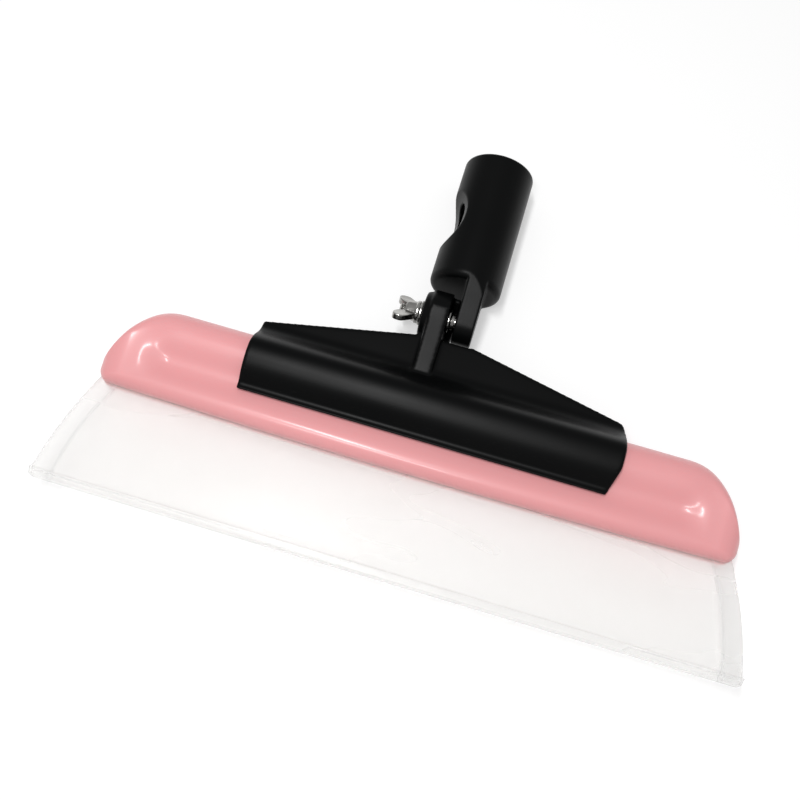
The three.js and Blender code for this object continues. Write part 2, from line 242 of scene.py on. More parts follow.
def bake_modifiers(obj: Obj) -> Obj:
    """Turns an object with modifiers into a plain mesh with the same name and materials."""
    shape = bpy.data.meshes.new_from_object(obj.evaluated_get(bpy.context.evaluated_depsgraph_get()))
    obj.modifiers.clear()
    old = obj.data
    obj.data = shape
    bpy.data.meshes.remove(old)
    shape.name = obj.name
    return obj


class Cut(Enum):
    """How a tool piece changes a body."""

    ADD = "UNION"
    TAKE = "DIFFERENCE"
    KEEP = "INTERSECT"


def carve(body: Obj, tools: Sequence[tuple[Cut, Obj]]) -> Obj:
    """Joins and cuts a body with tool pieces, in order, and removes the tools.

    Args:
        body: The body that is changed.
        tools: Pairs of what to do and the piece to do it with.

    Returns:
        The body.
    """
    for how, tool in tools:
        step = body.modifiers.new("carve", "BOOLEAN")
        step.operation = how.value
        step.solver = "EXACT"
        step.object = tool
        bpy.context.view_layer.update()
        bake_modifiers(body)
        discard(tool)
    return body


def mould(body: Obj, grid: float, passes: int) -> Obj:
    """Rounds every edge of a body as a moulding is: a fine even mesh, then smoothed.

    Args:
        body: The body.
        grid: Size of the even mesh, in millimetres.
        passes: Smoothing passes, which set how round the edges become.

    Returns:
        The body.
    """
    even = body.modifiers.new("even", "REMESH")
    even.mode = "VOXEL"
    even.voxel_size = grid * MM
    even.use_smooth_shade = True
    soft = body.modifiers.new("soft", "SMOOTH")
    soft.factor = 0.5
    soft.iterations = passes
    bpy.context.view_layer.update()
    bake_modifiers(body)
    body.data.polygons.foreach_set("use_smooth", [True] * len(body.data.polygons))
    return body


def smooth_by_angle(obj: Obj, degrees: float = 35) -> None:
    """Shades a mesh smooth, with sharp edges where faces meet at more than an angle."""
    made = bmesh.new()
    made.from_mesh(obj.data)
    limit = math.radians(degrees)
    for face in made.faces:
        face.smooth = True
    for edge in made.edges:
        edge.smooth = len(edge.link_faces) == 2 and edge.calc_face_angle(0) < limit
    made.to_mesh(obj.data)
    made.free()


# ---------------------------------------------------------------- shader node groups
def named_group(name: str, inputs: dict[str, float], outputs: Sequence[str]) -> Tree:
    """Starts a shader node group with number inputs and named outputs.

    Args:
        name: The group's name.
        inputs: Input names and their usual values.
        outputs: Output names; each output is a number.

    Returns:
        The tree, with its input and output nodes in place.
    """
    tree = bpy.data.node_groups.new(name, "ShaderNodeTree")
    for label, value in inputs.items():
        socket = tree.interface.new_socket(label, in_out="INPUT", socket_type="NodeSocketFloat")
        socket.default_value = value
    for label in outputs:
        tree.interface.new_socket(label, in_out="OUTPUT", socket_type="NodeSocketFloat")
    tree.nodes.new("NodeGroupInput").name = "in"
    tree.nodes.new("NodeGroupOutput").name = "out"
    return tree


def add_node(tree: Tree, kind: str, **settings: object) -> Node:
    """Adds a node and sets its plain properties."""
    node = tree.nodes.new(kind)
    for key, value in settings.items():
        setattr(node, key, value)
    return node


def maths(tree: Tree, operation: str, *values: object) -> Socket:
    """One math step on sockets or plain numbers.

    Args:
        tree: The tree to add to.
        operation: The Math node's operation.
        values: Its operands, in order.

    Returns:
        The result's socket.
    """
    node = add_node(tree, "ShaderNodeMath", operation=operation)
    for slot, value in zip(node.inputs, values):
        if isinstance(value, Socket):
            tree.links.new(value, slot)
        else:
            slot.default_value = value
    return node.outputs[0]


def feed(tree: Tree, node: Node, **values: object) -> Node:
    """Sets or links a node's inputs by name; an underscore in a name stands for a space.

    Args:
        tree: The tree that the node is in.
        node: The node.
        values: A socket to link from, or a plain value, for each input.

    Returns:
        The node.
    """
    for key, value in values.items():
        slot = node.inputs[key.replace("_", " ")]
        if isinstance(value, Socket):
            tree.links.new(value, slot)
        else:
            slot.default_value = value
    return node


def smooth_step(
    tree: Tree, value: Socket, low: object, high: object, **ends: object
) -> Socket:
    """A soft step from 0 to 1, or between the given ends.

    Args:
        tree: The tree to add to.
        value: The socket that is stepped.
        low: Where the step starts.
        high: Where it is full.
        ends: To Min and To Max, where they aren't 0 and 1.

    Returns:
        The result's socket.
    """
    step = add_node(tree, "ShaderNodeMapRange", interpolation_type="SMOOTHSTEP")
    feed(tree, step, Value=value, From_Min=low, From_Max=high, **ends)
    return step.outputs["Result"]


def object_noise(tree: Tree, detail: float) -> tuple[Node, Node]:
    """Adds Object coordinates through a Mapping node into a noise texture.

    Args:
        tree: The tree to add to.
        detail: Octaves of the noise.

    Returns:
        The mapping node and the noise node.
    """
    place = add_node(tree, "ShaderNodeTexCoord")
    mapping = feed(tree, add_node(tree, "ShaderNodeMapping"), Vector=place.outputs["Object"])
    noise = add_node(tree, "ShaderNodeTexNoise")
    feed(tree, noise, Detail=detail, Vector=mapping.outputs["Vector"])
    return mapping, noise


def moulded_grain_group() -> Tree:
    """Fine texture of a moulding: a spark-eroded grain over a slower unevenness.

    Returns:
        The group, with inputs Grain Scale, Grain, Wave Scale and Wave, and the output Height.
    """
    inputs = {"Grain Scale": 2400.0, "Grain": 1.0, "Wave Scale": 60.0, "Wave": 1.0}
    tree = named_group("moulded_grain", inputs, ["Height"])
    given = tree.nodes["in"].outputs
    _, grain = object_noise(tree, 3.0)
    _, wave = object_noise(tree, 1.0)
    feed(tree, grain, Scale=given["Grain Scale"])
    feed(tree, wave, Scale=given["Wave Scale"])
    fine = maths(tree, "MULTIPLY", grain.outputs["Fac"], given["Grain"])
    height = maths(tree, "MULTIPLY_ADD", wave.outputs["Fac"], given["Wave"], fine)
    feed(tree, tree.nodes["out"], Height=height)
    return tree


def tone_drift_group() -> Tree:
    """Slow drift of a surface between two values, as in a flow-marked moulding.

    Returns:
        The group, with inputs Scale, Low and High, and the output Value.
    """
    tree = named_group("tone_drift", {"Scale": 12.0, "Low": 0.0, "High": 1.0}, ["Value"])
    given = tree.nodes["in"].outputs
    mapping, noise = object_noise(tree, 2.0)
    feed(tree, mapping, Scale=(0.35, 1.0, 1.0))
    feed(tree, noise, Scale=given["Scale"])
    value = smooth_step(tree, noise.outputs["Fac"], 0.3, 0.7, To_Min=given["Low"], To_Max=given["High"])
    feed(tree, tree.nodes["out"], Value=value)
    return tree


def edge_wear_and_sheen_group() -> Tree:
    """Where a surface is rubbed and where its edges get a painted sheen: its outward edges, broken up by
    noise.

    Returns:
        The group, with inputs Start, Full and Breakup, and the output Mask.
    """
    tree = named_group("edge_rub", {"Start": 0.52, "Full": 0.62, "Breakup": 0.5}, ["Mask"])
    given = tree.nodes["in"].outputs
    shape = add_node(tree, "ShaderNodeNewGeometry")
    edge = smooth_step(tree, shape.outputs["Pointiness"], given["Start"], given["Full"])
    _, noise = object_noise(tree, 4.0)
    feed(tree, noise, Scale=500.0)
    broken = maths(tree, "MULTIPLY", noise.outputs["Fac"], given["Breakup"])
    keep = maths(tree, "SUBTRACT", 1.0, broken)
    feed(tree, tree.nodes["out"], Mask=maths(tree, "MULTIPLY", edge, keep))
    return tree


def sheet_margin_group() -> Tree:
    """The greyer margin of a sheet whose ends follow a parabola, with the line where the margin begins,
    painted as shade at the sheet's step.

    Returns:
        The group, with inputs Half Width, Tip, Curve and Margin in metres, and outputs Band and Line.
    """
    inputs = {"Half Width": 0.1525, "Tip": -0.1, "Curve": 5.3, "Margin": 0.009}
    tree = named_group("sheet_margin", inputs, ["Band", "Line"])
    given = tree.nodes["in"].outputs
    place = add_node(tree, "ShaderNodeTexCoord")
    parts = add_node(tree, "ShaderNodeSeparateXYZ")
    tree.links.new(place.outputs["Object"], parts.inputs[0])
    above = maths(tree, "SUBTRACT", parts.outputs["Y"], given["Tip"])
    lean = maths(tree, "MULTIPLY", maths(tree, "MULTIPLY", above, above), given["Curve"])
    end = maths(tree, "SUBTRACT", given["Half Width"], lean)
    inset = maths(tree, "SUBTRACT", end, maths(tree, "ABSOLUTE", parts.outputs["X"]))
    past = maths(tree, "SUBTRACT", given["Margin"], inset)
    off_line = maths(tree, "MULTIPLY", maths(tree, "ABSOLUTE", past), -1.0)
    # Line is painted shade along the step where the thin margin begins; Band is a greyer margin.
    spans = (("Band", past, -0.0006, 0.0006), ("Line", off_line, -0.0011, -0.0002))
    for label, value, low, high in spans:
        feed(tree, tree.nodes["out"], **{label: smooth_step(tree, value, low, high)})
    return tree


@dataclass(frozen=True)
class Effects:
    """The shader groups that the finishes share, each built once."""

    grain: Tree = field(default_factory=moulded_grain_group)
    drift: Tree = field(default_factory=tone_drift_group)
    wear_and_sheen: Tree = field(default_factory=edge_wear_and_sheen_group)
    margin: Tree = field(default_factory=sheet_margin_group)

    def drifting(self, tree: Tree, scale: float, ends: Flat = (0.0, 1.0)) -> Socket:
        """A value that drifts slowly between two ends over a surface."""
        return self.place(tree, self.drift, Scale=scale, Low=ends[0], High=ends[1]).outputs["Value"]

    def height(self, tree: Tree, **values: float) -> Socket:
        """The height of a moulded or drawn surface's fine grain."""
        return self.place(tree, self.grain, **values).outputs["Height"]

    def place(self, tree: Tree, which: Tree, **values: float) -> Node:
        """Places a group in a material and sets its inputs."""
        return feed(tree, add_node(tree, "ShaderNodeGroup", node_tree=which), **values)


# ---------------------------------------------------------------- finishes
def new_material(name: str) -> tuple[Material, Tree, Node]:
    """A material with its tree and its Principled shader."""
    material = bpy.data.materials.new(name)
    material.use_nodes = True
    tree = material.node_tree
    return material, tree, tree.nodes["Principled BSDF"]


def drive_mix(
    tree: Tree, mask: Socket, low: object, high: Sequence[float]
) -> Socket:
    """Mixes two colours by a mask.

    Args:
        tree: The material's tree.
        mask: The mask's socket.
        low: Colour at mask 0, or its socket.
        high: Colour at mask 1.

    Returns:
        The mixed colour's socket.
    """
    mix = add_node(tree, "ShaderNodeMix", data_type="RGBA")
    first = low if isinstance(low, Socket) else (*low, 1.0)
    feed(tree, mix, A=first, B=(*high, 1.0), Factor=mask)
    return mix.outputs["Result"]


def drive_bump(
    tree: Tree, height: Socket, shader: Node, depth: float
) -> None:
    """Feeds a height through a Bump node into a shader's normal."""
    bump = feed(tree, add_node(tree, "ShaderNodeBump"), Strength=1.0, Distance=depth, Height=height)
    feed(tree, shader, Normal=bump.outputs["Normal"])


@dataclass(frozen=True)
class MouldedPlastic:
    """A moulded plastic with grain, slow gloss drift and lighter edges: partly rubbed wear, partly a painted
    sheen.
    """

    name: str
    base: Point
    shade: Point
    # Edge colour: rubbed wear plus a painted sheen of light on the edges.
    rubbed_and_sheen_tone: Point
    roughness: tuple[float, float]
    grain_scale: float
    grain_depth: float
    wave: float
    specular: float = 0.5
    coat: float = 0.0
    coat_roughness: float = 0.15
    glow_through: float = 0.0
    glow_reach: Point = (1.0, 0.45, 0.4)
    glow_depth: float = 0.004

    def material(self, effects: Effects) -> Material:
        """Builds the material from the shared effects."""
        material, tree, shader = new_material(self.name)
        # Lighter edge colour: partly rubbed wear, partly a painted sheen on the outward edges.
        wear_and_sheen = effects.place(tree, effects.wear_and_sheen).outputs["Mask"]
        body = drive_mix(tree, effects.drifting(tree, 16.0), self.base, self.shade)
        feed(
            tree,
            shader,
            Base_Color=drive_mix(tree, wear_and_sheen, body, self.rubbed_and_sheen_tone),
            Roughness=effects.drifting(tree, 40.0, self.roughness),
            Specular_IOR_Level=self.specular,
            Coat_Weight=self.coat,
            Coat_Roughness=self.coat_roughness,
            Subsurface_Weight=self.glow_through,
            Subsurface_Radius=self.glow_reach,
            Subsurface_Scale=self.glow_depth,
        )
        grain = effects.height(tree, Grain_Scale=self.grain_scale, Wave=self.wave)
        drive_bump(tree, grain, shader, self.grain_depth)
        return material


@dataclass(frozen=True)
class ClearSilicone:
    """Soft clear silicone: mostly see-through, glossy, faintly cloudy."""

    name: str = "clear_silicone"
    tint: Point = (0.94, 0.925, 0.905)
    cloud: Point = (0.965, 0.955, 0.94)
    # Grey of the margin band, and the painted shade of the line at the margin's step.
    margin_grey_and_step_shade: Point = (0.74, 0.75, 0.75)
    margin_weight: float = 0.22
    step_shade_weight: float = 0.34
    reach: float = 0.1005
    alpha: tuple[float, float] = (0.42, 0.54)
    margin_and_step_alpha: float = 0.3
    transmission: float = 0.55
    ior: float = 1.41
    grain_depth: float = 0.00002
    roughness: tuple[float, float] = (0.2, 0.32)

    def material(self, effects: Effects) -> Material:
        """Builds the material from the shared effects."""
        material, tree, shader = new_material(self.name)
        margin = effects.place(tree, effects.margin, Tip=-self.reach).outputs
        body = drive_mix(tree, effects.drifting(tree, 22.0), self.tint, self.cloud)
        band = maths(tree, "MULTIPLY", margin["Band"], self.margin_weight)
        # The line is painted shade along the step where the thin margin begins.
        line = maths(tree, "MULTIPLY", margin["Line"], self.step_shade_weight)
        weight = maths(tree, "ADD", band, line)
        veil = effects.drifting(tree, 9.0, self.alpha)
        feed(
            tree,
            shader,
            Base_Color=drive_mix(tree, weight, body, self.margin_grey_and_step_shade),
            Alpha=maths(tree, "ADD", veil, maths(tree, "MULTIPLY", weight, self.margin_and_step_alpha)),
            Roughness=effects.drifting(tree, 30.0, self.roughness),
            Transmission_Weight=self.transmission,
            IOR=self.ior,
        )
        grain = effects.height(tree, Grain_Scale=700.0, Grain=0.15, Wave_Scale=26.0)
        drive_bump(tree, grain, shader, self.grain_depth)
        return material


@dataclass(frozen=True)
class ZincSteel:
    """Bright zinc-plated steel with fine drawn marks and duller patches that drift at random."""

    name: str = "zinc_steel"
    bright: Point = (0.5, 0.495, 0.475)
    dull: Point = (0.3, 0.295, 0.285)
    roughness: tuple[float, float] = (0.12, 0.26)
    grain_depth: float = 0.00002

    def material(self, effects: Effects) -> Material:
        """Builds the material from the shared effects."""
        material, tree, shader = new_material(self.name)
        body = drive_mix(tree, effects.drifting(tree, 260.0), self.bright, self.dull)
        gloss = effects.drifting(tree, 420.0, self.roughness)
        feed(tree, shader, Base_Color=body, Roughness=gloss, Metallic=1.0)
        grain = effects.height(tree, Grain_Scale=3600.0, Grain=0.5, Wave_Scale=300.0)
        drive_bump(tree, grain, shader, self.grain_depth)
        return material


PINK_PLASTIC = MouldedPlastic(
    name="pink_plastic",
    base=(0.83, 0.365, 0.375),
    shade=(0.795, 0.345, 0.355),
    rubbed_and_sheen_tone=(0.9, 0.43, 0.44),
    roughness=(0.36, 0.44),
    grain_scale=1500.0,
    grain_depth=0.00001,
    wave=2.0,
    specular=0.3,
    coat=0.28,
    glow_through=0.12,
)
BLACK_PLASTIC = MouldedPlastic(
    name="black_plastic",
    base=(0.0014, 0.0016, 0.0017),
    shade=(0.0022, 0.0024, 0.0025),
    rubbed_and_sheen_tone=(0.008, 0.008, 0.008),
    roughness=(0.34, 0.4),
    grain_scale=2600.0,
    grain_depth=0.00003,
    wave=1.0,
    specular=0.1,
)
PIN_PLASTIC = MouldedPlastic(
    name="pin_plastic",
    base=(0.8, 0.77, 0.71),
    shade=(0.74, 0.71, 0.65),
    rubbed_and_sheen_tone=(0.84, 0.81, 0.76),
    roughness=(0.45, 0.55),
    grain_scale=2200.0,
    grain_depth=0.00001,
    wave=1.0,
)


# ---------------------------------------------------------------- geometry node trees
def shape_tree(name: str, inputs: dict[str, float]) -> Tree:
    """Starts a geometry node tree with named number inputs, a Material input and a Geometry output.

    Args:
        name: The tree's name.
        inputs: Input names and their usual values; an int makes a whole-number input.

    Returns:
        The tree, with nodes "in" and "out".
    """
    tree = bpy.data.node_groups.new(name, "GeometryNodeTree")
    tree.interface.new_socket("Geometry", in_out="OUTPUT", socket_type="NodeSocketGeometry")
    for label, value in inputs.items():
        kind = "NodeSocketInt" if isinstance(value, int) else "NodeSocketFloat"
        socket = tree.interface.new_socket(label, in_out="INPUT", socket_type=kind)
        socket.default_value = value
    tree.interface.new_socket("Material", in_out="INPUT", socket_type="NodeSocketMaterial")
    tree.nodes.new("NodeGroupInput").name = "in"
    tree.nodes.new("NodeGroupOutput").name = "out"
    return tree


def end_tree(tree: Tree, shape: Socket) -> None:
    """Ends a tree in Realize Instances and Set Material."""
    real = feed(tree, add_node(tree, "GeometryNodeRealizeInstances"), Geometry=shape)
    dress = add_node(tree, "GeometryNodeSetMaterial")
    feed(tree, dress, Geometry=real.outputs["Geometry"], Material=tree.nodes["in"].outputs["Material"])
    feed(tree, tree.nodes["out"], Geometry=dress.outputs["Geometry"])


def grown(
    name: str, tree: Tree, material: Material, sizes: dict[str, float], counts: dict[str, float]
) -> Obj:
    """Runs a tree on an empty object and keeps the result as a plain mesh.

    Args:
        name: The object's name.
        tree: The geometry node tree.
        material: What the tree's Material input is set to.
        sizes: The inputs that are lengths, in millimetres.
        counts: The inputs that are plain numbers.

    Returns:
        The object, with a plain mesh and no modifier.
    """
    obj = linked(name, bpy.data.meshes.new(name))
    step = obj.modifiers.new("grow", "NODES")
    step.node_group = tree
    sockets = {s.name: s.identifier for s in tree.interface.items_tree if s.in_out == "INPUT"}
    lengths = {label: value * MM for label, value in sizes.items()}
    for label, value in {**lengths, **counts, "Material": material}.items():
        step[sockets[label]] = value
    bpy.context.view_layer.update()
    return bake_modifiers(obj)


def set_in_place(obj: Obj, turn: Matrix, middle: Point = (0.0, 0.0, 0.0)) -> Obj:
    """Turns a mesh and moves it to a place in millimetres about the pivot, in its own corners."""
    obj.data.transform(Matrix.Translation(Vector(middle) * MM + PIVOT) @ turn)
    return obj


def screw_thread_tree() -> Tree:
    """A threaded rod along Z: a fine cylinder whose radius follows the thread's helix.

    Returns:
        The tree, with inputs Radius, Depth, Pitch, Length and Rings.
    """
    sizes = {"Radius": 0.0024, "Depth": 0.0006, "Pitch": 0.001, "Length": 0.02, "Rings": 200}
    tree = shape_tree("screw_thread", sizes)
    given = tree.nodes["in"].outputs
    rod = add_node(tree, "GeometryNodeMeshCylinder", fill_type="NGON")
    feed(tree, rod, Vertices=48, Side_Segments=given["Rings"], Radius=given["Radius"], Depth=given["Length"])
    place = add_node(tree, "GeometryNodeInputPosition")
    parts = add_node(tree, "ShaderNodeSeparateXYZ")
    tree.links.new(place.outputs["Position"], parts.inputs[0])

    angle = maths(tree, "ARCTAN2", parts.outputs["Y"], parts.outputs["X"])
    turn = maths(tree, "DIVIDE", angle, 2 * math.pi)
    along = maths(tree, "DIVIDE", parts.outputs["Z"], given["Pitch"])
    phase = maths(tree, "FRACT", maths(tree, "SUBTRACT", along, turn))
    ridge = maths(tree, "MULTIPLY", maths(tree, "ABSOLUTE", maths(tree, "SUBTRACT", phase, 0.5)), 2.0)
    crest = maths(tree, "MINIMUM", maths(tree, "MULTIPLY", ridge, 1.25), 1.0)
    sink = maths(tree, "MULTIPLY", maths(tree, "SUBTRACT", 1.0, crest), given["Depth"])
    share = maths(tree, "DIVIDE", maths(tree, "SUBTRACT", given["Radius"], sink), given["Radius"])
    thin = add_node(tree, "ShaderNodeCombineXYZ")
    x, y = (maths(tree, "MULTIPLY", parts.outputs[label], share) for label in "XY")
    feed(tree, thin, X=x, Y=y, Z=parts.outputs["Z"])
    shape = add_node(tree, "GeometryNodeSetPosition")
    feed(tree, shape, Geometry=rod.outputs["Mesh"], Position=thin.outputs[0])
    end_tree(tree, shape.outputs["Geometry"])
    return tree


def spring_turn_tree() -> Tree:
    """A split spring washer: a square wire along one turn of a helix about Z.

    Returns:
        The tree, with inputs Radius, Rise, Turns and Wire.
    """
    tree = shape_tree("spring_turn", {"Radius": 0.0035, "Rise": 0.001, "Turns": 0.96, "Wire": 0.0011})
    given = tree.nodes["in"].outputs
    radius, side = given["Radius"], given["Wire"]
    path = add_node(tree, "GeometryNodeCurveSpiral")
    feed(tree, path, Resolution=72, Start_Radius=radius, End_Radius=radius)
    feed(tree, path, Height=given["Rise"], Rotations=given["Turns"])
    wire = add_node(tree, "GeometryNodeCurvePrimitiveQuadrilateral")
    feed(tree, wire, Width=side, Height=side)
    sweep = add_node(tree, "GeometryNodeCurveToMesh")
    feed(tree, sweep, Fill_Caps=True, Curve=path.outputs["Curve"], Profile_Curve=wire.outputs["Curve"])
    end_tree(tree, sweep.outputs["Mesh"])
    return tree


def dowel_row_tree() -> Tree:
    """Equal dowels along X, standing along Z.

    Returns:
        The tree, with inputs Count, Pitch, Radius and Length.
    """
    tree = shape_tree("dowel_row", {"Count": 5, "Pitch": 0.056, "Radius": 0.002, "Length": 0.0084})
    given = tree.nodes["in"].outputs
    step = feed(tree, add_node(tree, "ShaderNodeCombineXYZ"), X=given["Pitch"])
    line = add_node(tree, "GeometryNodeMeshLine")
    feed(tree, line, Count=given["Count"], Offset=step.outputs[0])
    dowel = add_node(tree, "GeometryNodeMeshCylinder")
    feed(tree, dowel, Vertices=32, Radius=given["Radius"], Depth=given["Length"])
    copies = add_node(tree, "GeometryNodeInstanceOnPoints")
    feed(tree, copies, Points=line.outputs["Mesh"], Instance=dowel.outputs["Mesh"])
    end_tree(tree, copies.outputs["Instances"])
    return tree


# ---------------------------------------------------------------- what every sub-assembly shares
def make_palette() -> Palette:
    """Builds every material once, from one set of shared effects."""
    effects = Effects()
    finishes = {
        "pink_plastic": PINK_PLASTIC,
        "black_plastic": BLACK_PLASTIC,
        "silicone": ClearSilicone(),
        "zinc_steel": ZincSteel(),
        "pin_plastic": PIN_PLASTIC,
    }
    return {slot: finish.material(effects) for slot, finish in finishes.items()}


def fit_out(obj: Obj, body: str, palette: Palette, slot: str, *nodes: str) -> Obj:
    """Dresses a finished piece and ties it to the frame.

    Args:
        obj: The piece.
        body: The body that it rides on.
        palette: The materials.
        slot: The record's material slot, which also names the material.
        nodes: The CAD nodes that it stands for.

    Returns:
        The piece.
    """
    obj.data.materials.clear()
    obj.data.materials.append(palette[slot])
    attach(obj, body)
    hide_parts(*nodes)
    log.info("%s: %d faces, rides on %s", obj.name, len(obj.data.polygons), body)
    return obj


# ---------------------------------------------------------------- handle
@dataclass
class Handle:
    """The moulded handle: two shells round the blade's root, and the dowels between them."""

    palette: Palette
    top: float = -33.4
    height: float = 41.3
    half_width: float = 141.0
    crown: float = 2.0
    straight_half: float = 112.0
    shoulder_half: float = 130.5
    flare_drop: float = 31.0
    fall_power: float = 2.6
    tip_power: float = 0.91
    end_radius: float = 5.5
    end_round: float = 10.0
    bulb_depth: float = 11.0
    bulb_half: float = 12.2
    waist_depth: float = 26.0
    waist_half: float = 6.6
    bead_depth: float = 35.5
    bead_half: float = 8.3
    mouth_half: float = 3.4
    ease_length: float = 14.0
    joint_half: float = 0.15
    slot_half: float = 2.0
    throat_depth: float = 36.8
    root_half_width: float = 130.4
    key_depth: float = 24.7
    key_radius: float = 2.9
    pin_count: int = 5
    pin_pitch: float = 56.0
    pin_radius: float = 2.0
    pin_length: float = 8.4
    pin_below: float = -62.6

    def profile(self) -> list[Flat]:
        """Half thickness of the handle down from its top edge: bulb, waist, bead and mouth."""
        fall = self.height - self.bead_depth
        rise = self.bead_half - self.mouth_half
        bulb = arc((self.bulb_depth, 0), (self.bulb_depth, self.bulb_half), 180, 90, 22)
        neck = [
            (self.bulb_depth, self.bulb_half),
            (18, self.bulb_half),
            (20.5, self.waist_half),
            (self.waist_depth, self.waist_half),
        ]
        swell = [
            (self.waist_depth, self.waist_half),
            (30, self.waist_half),
            (32, self.bead_half),
            (self.bead_depth, self.bead_half),
        ]
        bead = arc((self.bead_depth, self.mouth_half), (fall, rise), 90, 0, 14)
        return joined(bulb, bezier(neck, 16), bezier(swell, 14), bead)

    def outline(self, x: float) -> tuple[float, float]:
        """Top and bottom of the handle's front view at a distance x from the middle, below its top edge."""
        a = abs(x)
        top = 0.0
        if a > self.straight_half:
            t = min(1.0, (a - self.straight_half) / (self.half_width - self.straight_half))
            top = self.flare_drop * (1 - (1 - t**self.fall_power) ** self.tip_power)
        bottom = self.height - self.crown * (a / self.half_width) ** 2
        corner = self.half_width - self.end_radius
        if a > corner:
            t = min(1.0, (a - corner) / self.end_radius)
            lift = self.height - self.crown - self.flare_drop - 1
            bottom -= lift * (1 - math.sqrt(1 - t * t))
        return top, max(bottom, top + 1)

    def end_factor(self, x: float) -> float:
        """How much of its full thickness the handle has at x: it rounds off at each end."""
        past = max(0.0, abs(x) - (self.half_width - self.end_round)) / self.end_round
        return math.sqrt(max(0.02, 1 - past * past))

    def flat_half(self, depth: float) -> float:
        """Half thickness of the plain pad that the handle turns into at its ends, where it has no waist."""
        t = min(1.0, depth / self.bulb_depth)
        slope = self.bulb_half + (self.bead_half - self.bulb_half) * min(1.0, depth / self.bead_depth)
        return slope * math.sqrt(1 - (1 - t) ** 2)

    def section(self, x: float) -> list[Flat]:
        """The outside of the section at x: the full profile, easing into the plain pad at the ends."""
        t = (abs(x) - self.straight_half) / self.ease_length
        t = min(1.0, max(0.0, t))
        ease = t * t * (3 - 2 * t)
        line = []
        for depth, half in self.profile():
            pad = self.flat_half(depth) if depth < self.bead_depth else half
            line.append((depth, half + (pad - half) * ease))
        return line

    def stations(self) -> list[float]:
        """Places along X where the section is taken: closer together round the ends."""
        half = [self.straight_half * i / 28 for i in range(29)]
        run = self.shoulder_half - self.straight_half
        half += [self.straight_half + run * i / 18 for i in range(1, 19)]
        run = self.half_width - self.shoulder_half
        half += [self.shoulder_half + run * math.sin(i * math.pi / 72) for i in range(1, 37)]
        return [-x for x in reversed(half[1:])] + half

    def ring(self, x: float, side: int) -> list[Point]:
        """One closed section of a shell at x.

        Args:
            x: Place along the handle.
            side: 1 for the front shell, -1 for the back one.

        Returns:
            Points round the section: outside from top to mouth, then back up the slot and the joint face.
        """
        top, bottom = self.outline(x)
        factor = self.end_factor(x)
        stretch = (bottom - top) / self.height
        outer = [(d, max(self.joint_half, h * factor)) for d, h in self.section(x)]
        mouth = min(self.slot_half, 0.55 * outer[-1][1])
        slot = self.slot_half if abs(x) <= self.root_half_width else self.joint_half
        key = self.key_radius if abs(x) <= self.root_half_width else self.joint_half
        throat = min(slot, mouth)
        lip = [(self.height, mouth), (self.throat_depth + 0.4, mouth)]
        inner = lip + [(self.throat_depth, throat), (self.key_depth + 2.7, throat)]
        reach = math.degrees(math.asin(min(1.0, slot / max(key, slot))))
        inner += [
            (self.key_depth + key * math.cos(math.radians(a)), key * math.sin(math.radians(a)))
            for a in (reach + 5, 60, 90, 120, 150, 172)
        ]
        inner = [(d, max(self.joint_half, min(h, self.bulb_half))) for d, h in inner]
        inner.append((3.0, self.joint_half))
        return [(x, self.top - top - d * stretch, side * h) for d, h in outer + inner]

    def shell(self, name: str, side: int) -> Obj:
        """One shell as a closed mesh of sections joined along X."""
        rings = [self.ring(x, side) for x in self.stations()]
        n = len(rings[0])
        corners = [p for ring in rings for p in ring]
        faces = [list(range(n)), list(range(len(corners) - n, len(corners)))]
        for i in range(len(rings) - 1):
            for j in range(n):
                k = (j + 1) % n
                faces.append([i * n + j, i * n + k, (i + 1) * n + k, (i + 1) * n + j])
        obj = mesh_object(name, corners, faces)
        smooth_by_angle(obj, 40)
        return obj

    def pins(self) -> Obj:
        """The dowels that pass through the blade's root."""
        sizes = {"Pitch": self.pin_pitch, "Radius": self.pin_radius, "Length": self.pin_length}
        finish, counts = self.palette["pin_plastic"], {"Count": self.pin_count}
        row = grown("handle_pins", dowel_row_tree(), finish, sizes, counts)
        first = -(self.pin_count - 1) / 2 * self.pin_pitch
        return set_in_place(row, Matrix.Identity(4), (first, self.pin_below, 0))

    def build(self) -> None:
        """Makes the shells and the dowels."""
        front = self.shell("handle_front", 1)
        back = self.shell("handle_back", -1)
        fit_out(front, "head", self.palette, "pink_plastic", "handle_front_shell")
        fit_out(back, "head", self.palette, "pink_plastic", "handle_back_shell")
        nodes = [f"handle_pin_{i + 1}" for i in range(self.pin_count)]
        fit_out(self.pins(), "head", self.palette, "pin_plastic", *nodes)


